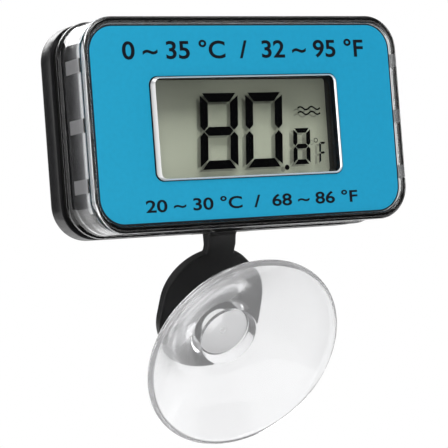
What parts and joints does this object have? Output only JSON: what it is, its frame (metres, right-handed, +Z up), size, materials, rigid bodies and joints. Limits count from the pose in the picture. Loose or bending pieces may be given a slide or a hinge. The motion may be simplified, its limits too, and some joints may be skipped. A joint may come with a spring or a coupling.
{
  "type": "digital aquarium thermometer",
  "caption": "Submersible digital thermometer: clear-fronted sealed case with a numeric display, hinged on a round bracket plate that turns on a clear suction cup.",
  "frame": {"origin": "centre of the suction cup's rim, in the plane of its flat lip", "axes": "+Z up with the case upright, display facing -Y, +X to the reader's right; the cup's axis points forward and 31 degrees down"},
  "size_m": [0.0652, 0.0294, 0.0771],
  "materials": {
    "clear_housing": "polished clear moulded plastic",
    "printed_label": "glossy printed film",
    "black_moulding": "fine satin black moulding",
    "cover_moulding": "satin black moulding",
    "polariser_film": "thin polarising film",
    "display_glass": "polished display glass",
    "reflector_film": "satin grey-green reflector film",
    "zebra_rubber": "layered silicone strip",
    "board_laminate": "green solder mask on glass laminate",
    "black_epoxy": "glossy black epoxy",
    "chip_ceramic": "small ceramic chips",
    "switch_body": "matt black switch",
    "plated_steel": "nickel-plated steel",
    "gilt_contact": "plated spring brass",
    "stainless": "brushed stainless steel",
    "black_seal": "black nitrile rubber",
    "red_seal": "red silicone rubber",
    "button_rubber": "dark grey rubber",
    "clear_pvc": "very clear soft PVC, wet gloss"
  },
  "bodies": {
    "cup": {"suction_cup": "clear_pvc"},
    "bracket": {"bracket": "black_moulding"},
    "case": {"front_housing": "clear_housing", "front_label": "printed_label", "display_frame": "black_moulding", "rear_cover": "black_moulding", "battery_holder": "black_moulding", "lcd_polariser": "polariser_film", "lcd_cell": "display_glass", "lcd_reflector": "reflector_film", "zebra_strips": "zebra_rubber", "circuit_board": "board_laminate", "chip_blob": "black_epoxy", "thermistor": "black_epoxy", "board_chips": "chip_ceramic", "tact_switch": "switch_body", "board_screws": "plated_steel", "cover_screws": "plated_steel", "timing_crystal": "plated_steel", "battery_cells": "plated_steel", "battery_contact_negative": "plated_steel", "battery_contact_positive": "gilt_contact", "sensor_cap": "stainless", "hinge_pin": "stainless", "case_seal": "black_seal"},
    "battery_lid": {"battery_cover": "cover_moulding", "battery_bridge": "plated_steel", "battery_seal": "red_seal"},
    "button": {"unit_button": "button_rubber", "button_seal": "black_seal"}
  },
  "joints": [
    {"name": "cup_turn", "type": "hinge", "parent": "cup", "child": "bracket", "pos_m": [0, 0, 0], "axis": [0, -0.8572, -0.515], "continuous": true},
    {"name": "case_tilt", "type": "hinge", "parent": "bracket", "child": "case", "pos_m": [0, 0.00588, 0.02313], "axis": [1, 0, 0], "range_deg": [-60, 25]},
    {"name": "battery_cover_turn", "type": "hinge", "parent": "case", "child": "battery_lid", "pos_m": [0, 0.00868, 0.04273], "axis": [0, 1, 0], "range_deg": [0, 45]},
    {"name": "button_press", "type": "slide", "parent": "case", "child": "button", "axis": [0, -1, 0], "range_m": [0, 0.0005], "stiffness_N_per_m": 600, "springref_m": -0.0005}
  ]
}
